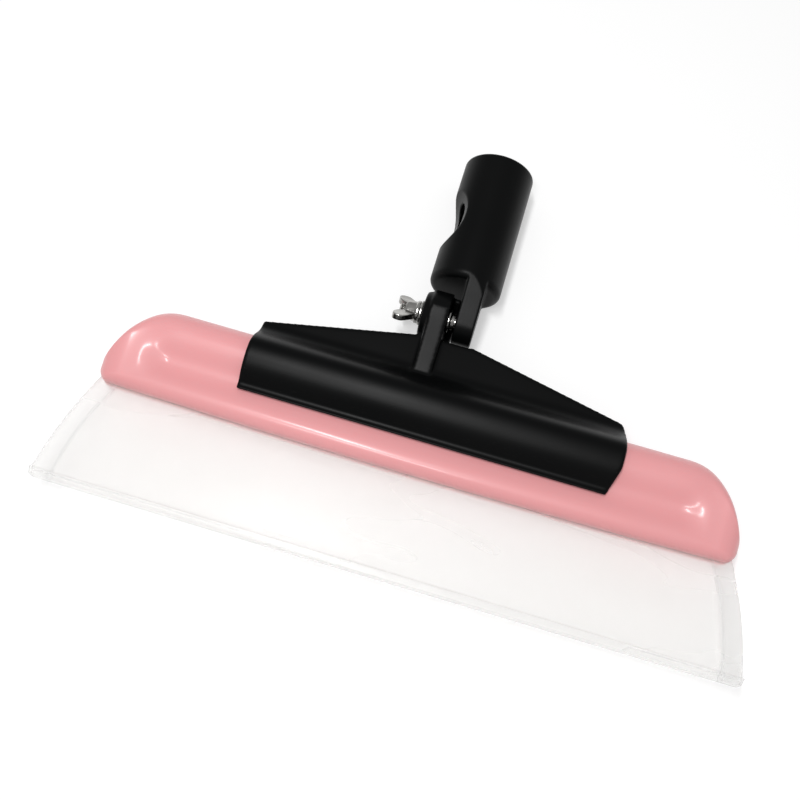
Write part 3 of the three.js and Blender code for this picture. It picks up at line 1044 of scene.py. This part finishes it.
# ---------------------------------------------------------------- silicone blade
@dataclass
class SiliconeBlade:
    """The clear blade: a tapering sheet with a T-bar along the tip and a keyed root in the handle."""

    palette: Palette
    half_width: float = 152.5
    tip: float = -120.5
    bar_height: float = 3.2
    bar_half: float = 3.5
    tip_half: float = 1.1
    root_half: float = 1.7
    mouth: float = -74.7
    root_top: float = -55.5
    root_half_width: float = 130.0
    root_bottom: float = -66.0
    flare_start: Flat = (139.2, -70.5)
    flare_bend: Flat = (149.0, -92.0)
    key_radius: float = 2.6
    margin: float = 9.0
    step: float = 0.5

    def side(self, y: float) -> float:
        """Half width of the blade at y: a convex flare from the handle to the tip."""
        start, bend = self.flare_start, self.flare_bend
        end = (self.half_width, self.tip + self.bar_height)
        if y >= self.root_bottom:
            return self.root_half_width
        if y >= start[1]:
            t = (self.root_bottom - y) / (self.root_bottom - start[1])
            return self.root_half_width + (start[0] - self.root_half_width) * t
        if y <= end[1]:
            return self.half_width - max(0.0, end[1] - y) / self.bar_height
        # Invert the quadratic's Y for its parameter, then read its X.
        a, b, c = start[1] - 2 * bend[1] + end[1], 2 * (bend[1] - start[1]), start[1] - y
        t = (-b - math.sqrt(b * b - 4 * a * c)) / (2 * a) if abs(a) > 1e-9 else -c / b
        return (1 - t) ** 2 * start[0] + 2 * t * (1 - t) * bend[0] + t * t * end[0]

    def half_thickness(self, y: float) -> float:
        """Half thickness at y: root, taper, a small fillet, then the T-bar."""
        bar_top = self.tip + self.bar_height
        if y >= self.mouth:
            return self.root_half
        if y > bar_top:
            t = (self.mouth - y) / (self.mouth - bar_top)
            sheet = self.root_half + (self.tip_half - self.root_half) * t
            fillet = max(0.0, 1 - (y - bar_top) / 1.2)
            return sheet + 0.9 * fillet * fillet
        return self.bar_half

    def rows(self) -> list[tuple[float, float]]:
        """Heights of the mesh's rows, each with its half thickness."""
        bar_top = self.tip + self.bar_height
        heights = [self.root_top - 0.5 * i for i in range(0, 32)]
        heights += [-71 - 1.1 * i for i in range(0, 40)]
        heights = [y for y in heights if y > bar_top + 1.3]
        heights += [bar_top + d for d in (1.2, 0.9, 0.6, 0.35, 0.15)]
        rows = [(y, self.half_thickness(y)) for y in heights]
        rows += [(bar_top, 2.1), (bar_top - 0.05, self.bar_half - 0.35)]
        rows += [(bar_top - 0.35, self.bar_half), (self.tip + 0.4, self.bar_half)]
        rows += [(self.tip + 0.1, self.bar_half - 0.12), (self.tip, self.bar_half - 0.45)]
        return rows

    def columns(self) -> list[float]:
        """Shares of the half width where the mesh's columns stand: closer together at the ends."""
        inner = [i / 40 * 0.9 for i in range(-40, 41)]
        near_end = (0.15, 0.25, 0.32, 0.36, 0.4, 0.45, 0.55, 0.7, 0.85, 0.93, 0.97, 0.99, 1.0)
        outer = [0.9 + 0.1 * t for t in near_end]
        return [-s for s in reversed(outer)] + inner + outer

    def edge_step(self, x: float, y: float, side: float) -> float:
        """The thicker panel of the sheet: a soft step down to a thin margin along each end."""
        if y > self.mouth or y < self.tip + self.bar_height + 1.3:
            return 0.0
        inset = self.margin + 1.5 * math.sin(math.pi * (self.mouth - y) / (self.mouth - self.tip))
        t = min(1.0, max(0.0, (side - abs(x) - inset) / 1.2 + 0.5))
        return self.step * (t * t * (3 - 2 * t) - 1)

    def sheet(self) -> Obj:
        """The whole blade as one closed mesh."""
        rows, columns = self.rows(), self.columns()
        faces: list[list[int]] = []
        layers = []
        for sign in (1, -1):
            layer = []
            for y, half in rows:
                side = self.side(y)
                for share in columns:
                    x = share * side
                    end_round = 0.25 if abs(share) > 0.999 else 0.0
                    layer.append((x, y, sign * (half - end_round + self.edge_step(x, y, side))))
            layers.append(layer)
        corners = layers[0] + layers[1]
        n, m = len(rows), len(columns)
        other = n * m
        for i in range(n - 1):
            for j in range(m - 1):
                a, b, c, d = i * m + j, i * m + j + 1, (i + 1) * m + j + 1, (i + 1) * m + j
                faces += [[a, b, c, d], [other + d, other + c, other + b, other + a]]
        for i in range(n - 1):
            for j in (0, m - 1):
                a, d = i * m + j, (i + 1) * m + j
                faces.append([a, d, other + d, other + a])
        for j in range(m - 1):
            for i in (0, n - 1):
                a, b = i * m + j, i * m + j + 1
                faces.append([a, b, other + b, other + a])
        obj = mesh_object("water_blade", corners, faces)
        key = bar("blade_key", self.key_radius, -self.root_half_width, self.root_half_width, Axis.X, 32)
        carve(obj, [(Cut.ADD, shift(key, (0, self.root_top - self.key_radius, 0)))])
        smooth_by_angle(obj, 42)
        return obj

    def build(self) -> None:
        """Makes the blade."""
        fit_out(self.sheet(), "head", self.palette, "silicone", "silicone_blade")


# ---------------------------------------------------------------- clip
@dataclass
class ClipSaddle:
    """The clip-on saddle: a C-section that grips the handle, a gusset web, and the ear for the pivot."""

    palette: Palette
    handle: Handle
    half_width: float = 84.8
    square_end: float = -80.9
    corner_run: float = 3.4
    corner_drop: float = 9.0
    lip_half_width: float = 81.4
    taper_from: float = -50.0
    web_half: float = 2.6
    web_end: float = -25.4
    web_apex: float = -8.2
    crown: float = 16.4
    crown_at: float = -43.5
    rise_from: float = 8.1
    rise_to: float = 9.6
    brow: Flat = (-54.5, 13.5)
    pinch_at: float = -57.6
    pinch_half: float = 9.9
    lip_at: float = -61.2
    lip_half: float = 9.7
    lip_wall: float = 1.9
    fit: float = 0.45
    ear_left: float = -11.8
    ear_right: float = -3.3
    ear_radius: float = 12.0
    foot_half: float = 3.5
    shield_radius: float = 9.3
    shield_end: float = 0.3
    boss_radius: float = 11.0
    boss_end: float = -15.0
    hole: float = 2.75
    lug_clearance: float = 11.0
    lug_right: float = 10.9
    grid: float = 0.66
    passes: int = 7

    def outer(self) -> list[Flat]:
        """The front outside of the section, from the web to the lip, as (Y, Z)."""
        rise = [
            (self.web_end, self.web_half),
            (self.web_end - self.rise_from, self.web_half),
            (self.web_end - self.rise_to, self.crown),
            (self.crown_at, self.crown),
        ]
        fall = [
            (self.crown_at, self.crown),
            (self.crown_at - 6.5, self.crown),
            self.brow,
            (self.pinch_at, self.pinch_half),
        ]
        lip = [(self.pinch_at, self.pinch_half), (self.pinch_at - 1.6, 8.2), (self.lip_at, self.lip_half)]
        return joined(bezier(rise, 26), bezier(fall, 22), bezier(lip, 8))

    def inner(self) -> list[Flat]:
        """The inside of the section: the handle's own outline, a little larger."""
        line = [q for q in self.handle.profile() if q[0] <= self.handle.waist_depth + 0.01]
        made = []
        for i, (depth, half) in enumerate(line):
            before, after = line[max(0, i - 1)], line[min(len(line) - 1, i + 1)]
            along = Vector((after[0] - before[0], after[1] - before[1])).normalized()
            if i == 0:
                along = Vector((0, 1))
            if i == len(line) - 1:
                along = Vector((1, 0))
            made.append((self.handle.top - (depth - along.y * self.fit), half + along.x * self.fit))
        return made

    def section(self) -> list[Flat]:
        """The whole C-section."""
        inner = self.inner()
        front = self.outer() + [(self.lip_at, self.lip_half - self.lip_wall)] + inner[:0:-1]
        return front + [(inner[0][0], 0.0)] + [(y, -z) for y, z in reversed(front)]

    def web(self) -> list[Flat]:
        """The gusset's outline, as (X, Y)."""
        low = self.web_end - 3
        end = self.half_width - self.corner_run
        return [
            (self.square_end, self.web_end),
            (self.square_end, low),
            (end, low),
            (end, self.web_end),
            (0.0, self.web_apex),
        ]

    def ear(self) -> list[Flat]:
        """The ear's outline, as (Y, Z): a round end on a strap that runs down into the saddle."""
        foot = self.handle.top + self.fit + 1.5
        lobe = arc((0, 0), (self.ear_radius, self.ear_radius), -90, 90, 40)
        return lobe + [(foot, self.foot_half), (foot, -self.foot_half)]

    def plan(self) -> list[Flat]:
        """The clip seen from the front, as (X, Y): its right end is rounded, its left end is square."""
        run, drop = self.corner_run, self.corner_drop
        corner = arc((self.half_width - run, self.web_end - drop), (run, drop), 90, 0, 12)
        side = [
            (self.half_width - run, 0.0),
            *corner,
            (self.half_width, self.taper_from),
            (self.lip_half_width, self.lip_at),
            (self.lip_half_width, self.lip_at - 1),
        ]
        return side + [(self.square_end, self.lip_at - 1), (self.square_end, 0.0)]

    def shield(self) -> list[Flat]:
        """The half ring behind the pivot, as (Y, Z), that closes the gap beside the lug."""
        outer = arc((0, 0), (self.ear_radius, self.ear_radius), 180, 360, 40)
        return outer + arc((0, 0), (self.shield_radius, self.shield_radius), 360, 180, 40)

    def build(self) -> None:
        """Makes the clip as one moulding."""
        body = prism("pole_clip", self.section(), -self.half_width, self.half_width, Axis.X)
        r, left, right = self.boss_radius, self.boss_end, self.ear_left + 0.1
        boss = turned("boss", [(0, left), (r - 1, left), (r, right), (0, right)], Axis.X)
        carve(
            body,
            [
                (Cut.KEEP, prism("envelope", self.plan(), -self.crown - 1, self.crown + 1, Axis.Z)),
                (Cut.ADD, prism("web", self.web(), -self.web_half, self.web_half, Axis.Z)),
                (Cut.TAKE, bar("clearance", self.lug_clearance, self.ear_right, self.lug_right, Axis.X)),
                (Cut.ADD, prism("ear", self.ear(), self.ear_left, self.ear_right, Axis.X)),
                (Cut.ADD, boss),
                (Cut.ADD, prism("shield", self.shield(), self.ear_right - 0.1, self.shield_end, Axis.X)),
                (Cut.TAKE, bar("hole", self.hole, self.boss_end - 1, self.ear_right + 1, Axis.X, 48)),
            ],
        )
        mould(body, self.grid, self.passes)
        fit_out(body, "clip", self.palette, "black_plastic", "clip_saddle")


# ---------------------------------------------------------------- pole socket
@dataclass
class PoleSocket:
    """The socket for the pole: bore, thumb scoop with its window, and the lug for the pivot."""

    palette: Palette
    radius: float = 16.4
    bottom: float = 15.5
    top: float = 80.5
    bore: float = 11.8
    floor: float = 20.0
    bottom_round: float = 3.0
    top_round: float = 1.0
    scoop_at: float = 48.0
    scoop_depth: float = 5.2
    scoop_radius: float = 24.0
    scoop_turn: float = 10.0
    window_at: float = 52.5
    window_radius: float = 4.8
    window_turn: float = 16.0
    lug_left: float = 0.6
    lug_right: float = 9.4
    lug_radius: float = 9.5
    lug_root: float = 18.0
    hex_depth: float = 3.2
    hex_across: float = 8.5
    hole: float = 2.75
    grid: float = 0.45
    passes: int = 5

    def wall(self) -> list[Flat]:
        """The profile of the socket, as (radius, Y)."""
        r, low, high = self.radius, self.bottom_round, self.top_round
        foot = arc((r - low, self.bottom + low), (low, low), -90, 0, 10)
        rim = arc((r - high, self.top - high), (high, high), 0, 90, 6)
        mouth = [(self.bore + 1.2, self.top), (self.bore, self.top - 1.6)]
        return joined([(0, self.bottom)], foot, rim, mouth, [(self.bore, self.floor), (0, self.floor)])

    def scoop(self) -> Obj:
        """The cutter of the thumb scoop."""
        tool = bar("scoop", self.scoop_radius, -30, 30, Axis.Z, 160)
        off = self.radius - self.scoop_depth + self.scoop_radius
        return spin(shift(tool, (-off, self.scoop_at, 0)), self.scoop_turn, Axis.Y)

    def window(self) -> Obj:
        """The cutter of the window in the scoop."""
        tool = bar("window", self.window_radius, -22, -6, Axis.X, 64)
        return spin(shift(tool, (0, self.window_at, 0)), self.window_turn, Axis.Y)

    def lug(self) -> Obj:
        """The lug, narrowing from the socket's full width to a round end about the pivot."""
        reach = math.hypot(self.lug_root, self.radius)
        lean = math.degrees(math.atan2(self.radius, self.lug_root) + math.acos(self.lug_radius / reach))
        end = arc((0, 0), (self.lug_radius, self.lug_radius), lean, 360 - lean, 40)
        outline = [(self.lug_root, -self.radius), (self.lug_root, self.radius)] + end
        tongue = prism("lug", outline, self.lug_left, self.lug_right, Axis.X)
        return carve(tongue, [(Cut.KEEP, bar("envelope", self.radius, -30, 30, Axis.Y, 160))])

    def build(self) -> None:
        """Makes the socket as one moulding."""
        body = turned("pole_holder", self.wall(), Axis.Y, 160)
        deep = self.lug_right - self.hex_depth
        recess = prism("recess", hexagon(self.hex_across), deep, self.lug_right + 1, Axis.X)
        carve(
            body,
            [
                (Cut.TAKE, self.scoop()),
                (Cut.TAKE, self.window()),
                (Cut.ADD, self.lug()),
                (Cut.TAKE, bar("hole", self.hole, self.lug_left - 1, self.lug_right + 1, Axis.X, 48)),
                (Cut.TAKE, recess),
            ],
        )
        mould(body, self.grid, self.passes)
        fit_out(body, "pole_end", self.palette, "black_plastic", "pole_socket")


# ---------------------------------------------------------------- pivot hardware
@dataclass
class PivotHardware:
    """The bolt, its washers and the wing nut. Along X, everything stacks between the lug and the nut."""

    palette: Palette
    ear_right: float = -3.3
    boss_end: float = -15.0
    gap: float = 0.3
    bolt_radius: float = 2.4
    bolt_length: float = 31.75
    head_face: float = 6.4
    head_across: float = 7.9
    head_height: float = 2.9
    thread_pitch: float = 1.0583
    thread_depth: float = 0.62
    thread_length: float = 25.0
    rings_per_turn: int = 14
    hole: float = 2.75
    washer_radius: float = 5.6
    washer_thickness: float = 0.9
    spring_radius: float = 3.55
    spring_wire: float = 1.2
    spring_rise: float = 0.8
    spring_turns: float = 0.965
    nut_base_radius: float = 5.2
    nut_top_radius: float = 3.9
    nut_height: float = 6.2
    wing_span: float = 21.0
    wing_height: float = 10.8
    wing_half: float = 1.4
    wing_turn: float = 39.0
    nut_grid: float = 0.22
    nut_passes: int = 4

    @property
    def bolt_end(self) -> float:
        """Where the bolt's point is along X."""
        return self.head_face - self.bolt_length

    @property
    def nut_base(self) -> float:
        """Where the nut's base is along X."""
        return self.boss_end - 2 * self.gap - self.washer_thickness

    def bolt(self) -> Obj:
        """The bolt's hexagon head and plain shank."""
        face, top = self.head_face, self.head_face + self.head_height
        corner = self.head_across / math.sqrt(3) + 0.1
        crown = [(0, face), (corner, face), (corner, top - 0.7), (self.head_across / 2 - 0.3, top), (0, top)]
        head = prism("pivot_screw", hexagon(self.head_across), face, top, Axis.X)
        plain_end = self.bolt_end + self.thread_length
        shank = bar("shank", self.bolt_radius, plain_end - 0.5, face + 0.5, Axis.X, 48)
        carve(head, [(Cut.KEEP, turned("head_chamfer", crown, Axis.X)), (Cut.ADD, shank)])
        smooth_by_angle(head, 30)
        return head

    def thread(self) -> Obj:
        """The bolt's cut thread, chamfered at its end."""
        counts = {"Rings": int(self.thread_length / self.thread_pitch * self.rings_per_turn)}
        sizes = {
            "Radius": self.bolt_radius,
            "Depth": self.thread_depth,
            "Pitch": self.thread_pitch,
            "Length": self.thread_length,
        }
        thread = grown("pivot_thread", screw_thread_tree(), self.palette["zinc_steel"], sizes, counts)
        middle = self.bolt_end + self.thread_length / 2
        set_in_place(thread, Matrix.Rotation(math.pi / 2, 4, "Y"), (middle, 0, 0))
        smooth_by_angle(thread, 60)
        carve(thread, [(Cut.KEEP, self.point())])
        smooth_by_angle(thread, 60)
        return thread

    def point(self) -> Obj:
        """The envelope that chamfers the thread's end."""
        r, end = self.bolt_radius + 0.2, self.bolt_end
        start = end + self.thread_length - 0.01
        return turned("point", [(0, end), (r - 1.0, end), (r, end + 1.0), (r, start), (0, start)], Axis.X, 64)

    def flat_washer(self, name: str, start: float) -> Obj:
        """A flat washer with rounded edges, from start along +X."""
        t, soft = self.washer_thickness, 0.2
        inner, outer = self.hole, self.washer_radius
        low, high = start + soft, start + t - soft
        rim, edge = outer - soft, inner + soft
        corners = [(rim, low, -90), (rim, high, 0), (edge, high, 90), (edge, low, 180)]
        loop = joined(*(arc((x, y), (soft, soft), turn, turn + 90, 5) for x, y, turn in corners))
        washer = turned(name, loop, Axis.X, 96)
        smooth_by_angle(washer, 35)
        return washer

    def spring(self) -> Obj:
        """The split spring washer in the gap between ear and lug."""
        sizes = {"Radius": self.spring_radius, "Rise": self.spring_rise, "Wire": self.spring_wire}
        counts = {"Turns": self.spring_turns}
        washer = grown("split_washer", spring_turn_tree(), self.palette["zinc_steel"], sizes, counts)
        start = self.ear_right + 0.25 + self.washer_thickness + self.gap + self.spring_wire / 2
        set_in_place(washer, Matrix.Rotation(math.pi / 2, 4, "Y"), (start, 0, 0))
        smooth_by_angle(washer, 40)
        return washer

    def wing(self) -> list[Flat]:
        """One wing's outline, as (X, Y): outwards from the axis and away from the base."""
        base, half = self.nut_base, self.wing_span / 2
        tip, top = base - self.wing_height, base - self.nut_height + 0.4
        foot, shoulder, end = (base - 1, self.nut_base_radius - 0.8), (base - 6, half - 0.4), (tip, half - 3)
        neck = (top, self.nut_top_radius - 0.6)
        return joined(
            [(base - 1, 0.0), foot],
            bezier([foot, (base - 2.6, half - 3.2), shoulder], 12),
            bezier([shoulder, (base - 8.5, half + 0.6), (tip - 0.6, half), end], 16),
            bezier([end, (tip + 0.4, half - 5), (base - 8.5, self.nut_top_radius + 0.6), neck], 16),
            [(top, 0.0)],
        )

    def wing_nut(self) -> Obj:
        """The wing nut: a tapered hub with two swept wings and a threaded hole."""
        base, top = self.nut_base, self.nut_base - self.nut_height
        hub = turned(
            "wing_nut_body",
            [
                (0, top),
                (self.nut_top_radius - 0.3, top),
                (self.nut_top_radius, top + 0.4),
                (self.nut_base_radius - 0.6, base - 1.6),
                (self.nut_base_radius, base - 1.4),
                (self.nut_base_radius, base),
                (0, base),
            ],
            Axis.X,
        )
        wings = []
        for flip in (0, 180):
            plate = prism("wing", self.wing(), -self.wing_half, self.wing_half, Axis.Z)
            wings.append((Cut.ADD, spin(plate, flip, Axis.X)))
        hole = bar("nut_hole", self.bolt_radius + 0.1, top - 1, base + 1, Axis.X, 48)
        carve(hub, wings + [(Cut.TAKE, hole)])
        return spin(mould(hub, self.nut_grid, self.nut_passes), 180 - self.wing_turn, Axis.X)

    def build(self) -> None:
        """Makes the bolt, the washers and the nut."""
        first = self.ear_right + 0.25
        last = self.boss_end - self.gap - self.washer_thickness
        pieces = [
            (self.bolt(), "pole_end", "pivot_bolt"),
            (self.thread(), "pole_end", "pivot_bolt"),
            (self.flat_washer("flat_washer", first), "pole_end", "gap_washer"),
            (self.spring(), "pole_end", "spring_washer"),
            (self.flat_washer("under_nut_washer", last), "nut_carrier", "nut_washer"),
            (self.wing_nut(), "nut", "wing_nut"),
        ]
        for piece, body, node in pieces:
            fit_out(piece, body, self.palette, "zinc_steel", node)


# ---------------------------------------------------------------- studio
@dataclass(frozen=True)
class Softbox:
    """A soft rectangular light: where it hangs and its size, in metres, and its power in watts."""

    name: str
    place: Point
    size: Flat
    power: float

    def hang(self) -> None:
        """Hangs the light, aimed at the squeegee."""
        lamp = bpy.data.lights.new(self.name, "AREA")
        lamp.shape = "RECTANGLE"
        lamp.size, lamp.size_y = self.size
        lamp.energy = self.power
        obj = linked(self.name, lamp)
        obj.location = self.place
        obj.rotation_euler = (-Vector(self.place)).to_track_quat("-Z", "Y").to_euler()


@dataclass
class Studio:
    """The pale floor, the soft lights and the camera."""

    azimuth: float = 10.26
    elevation: float = 69.41
    roll: float = 6.49
    distance: float = 481.3
    look_at: Point = (-12.96, -42.72, 0.0)
    lens: float = 49.8
    floor_half: float = 4.0
    floor_drop: float = 0.0002
    floor_tone: float = 0.62
    floor_glow: float = 0.43
    sky_strength: float = 0.4
    lights: tuple[Softbox, ...] = (
        Softbox("key", (-0.14, -0.06, 1.0), (0.27, 0.04), 4.2),
        Softbox("fill", (-0.1, -0.38, 1.0), (0.24, 0.08), 2.6),
    )

    def floor(self) -> None:
        """A plain pale floor under the squeegee."""
        half, z = self.floor_half, -self.floor_drop
        data = bpy.data.meshes.new("floor")
        corners = [(-half, -half, z), (half, -half, z), (half, half, z), (-half, half, z)]
        data.from_pydata(corners, [], [[0, 1, 2, 3]])
        obj = linked("floor", data)
        material, tree, shader = new_material("pale_floor")
        feed(
            tree,
            shader,
            Base_Color=(self.floor_tone, self.floor_tone, self.floor_tone, 1.0),
            Roughness=0.9,
            Specular_IOR_Level=0.1,
            Emission_Color=WHITE,
            Emission_Strength=self.floor_glow,
        )
        data.materials.append(material)

    def sky(self) -> None:
        """An even, pale surround."""
        world = bpy.data.worlds.new("surround")
        bpy.context.scene.world = world
        world.use_nodes = True
        tree = world.node_tree
        feed(tree, tree.nodes["Background"], Color=WHITE, Strength=self.sky_strength)

    def camera(self) -> None:
        """The camera, turned a little about its own line of sight."""
        a, e, r = (math.radians(v) for v in (self.azimuth, self.elevation, self.roll))
        back = Vector((math.sin(a) * math.cos(e), -math.cos(a) * math.cos(e), math.sin(e)))
        right = (-back).cross(Vector((0, 0, 1))).normalized()
        up = right.cross(-back)
        tilted_right = math.cos(r) * right + math.sin(r) * up
        tilted_up = -math.sin(r) * right + math.cos(r) * up
        turn = Matrix((tilted_right, tilted_up, back)).transposed().to_4x4()
        target = Vector(self.look_at) * MM + PIVOT
        data = bpy.data.cameras.new("camera")
        data.lens = self.lens
        data.sensor_width = 36.0
        data.clip_start = 0.01
        obj = linked("camera", data)
        obj.matrix_world = Matrix.Translation(target + back * self.distance * MM) @ turn
        bpy.context.scene.camera = obj

    def build(self) -> None:
        """Makes the floor, the lights and the camera."""
        self.floor()
        self.sky()
        for light in self.lights:
            light.hang()
        self.camera()
        bpy.context.scene.view_settings.view_transform = "Standard"


def main() -> None:
    """Builds the squeegee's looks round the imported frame."""
    logging.basicConfig(level=logging.INFO, format="%(name)s: %(message)s")
    Studio().build()
    palette = make_palette()
    handle = Handle(palette)
    parts: list[Callable[[], None]] = [
        handle.build,
        SiliconeBlade(palette).build,
        ClipSaddle(palette, handle).build,
        PoleSocket(palette).build,
        PivotHardware(palette).build,
    ]
    for build in parts:
        build()


if __name__ == "__main__":
    main()
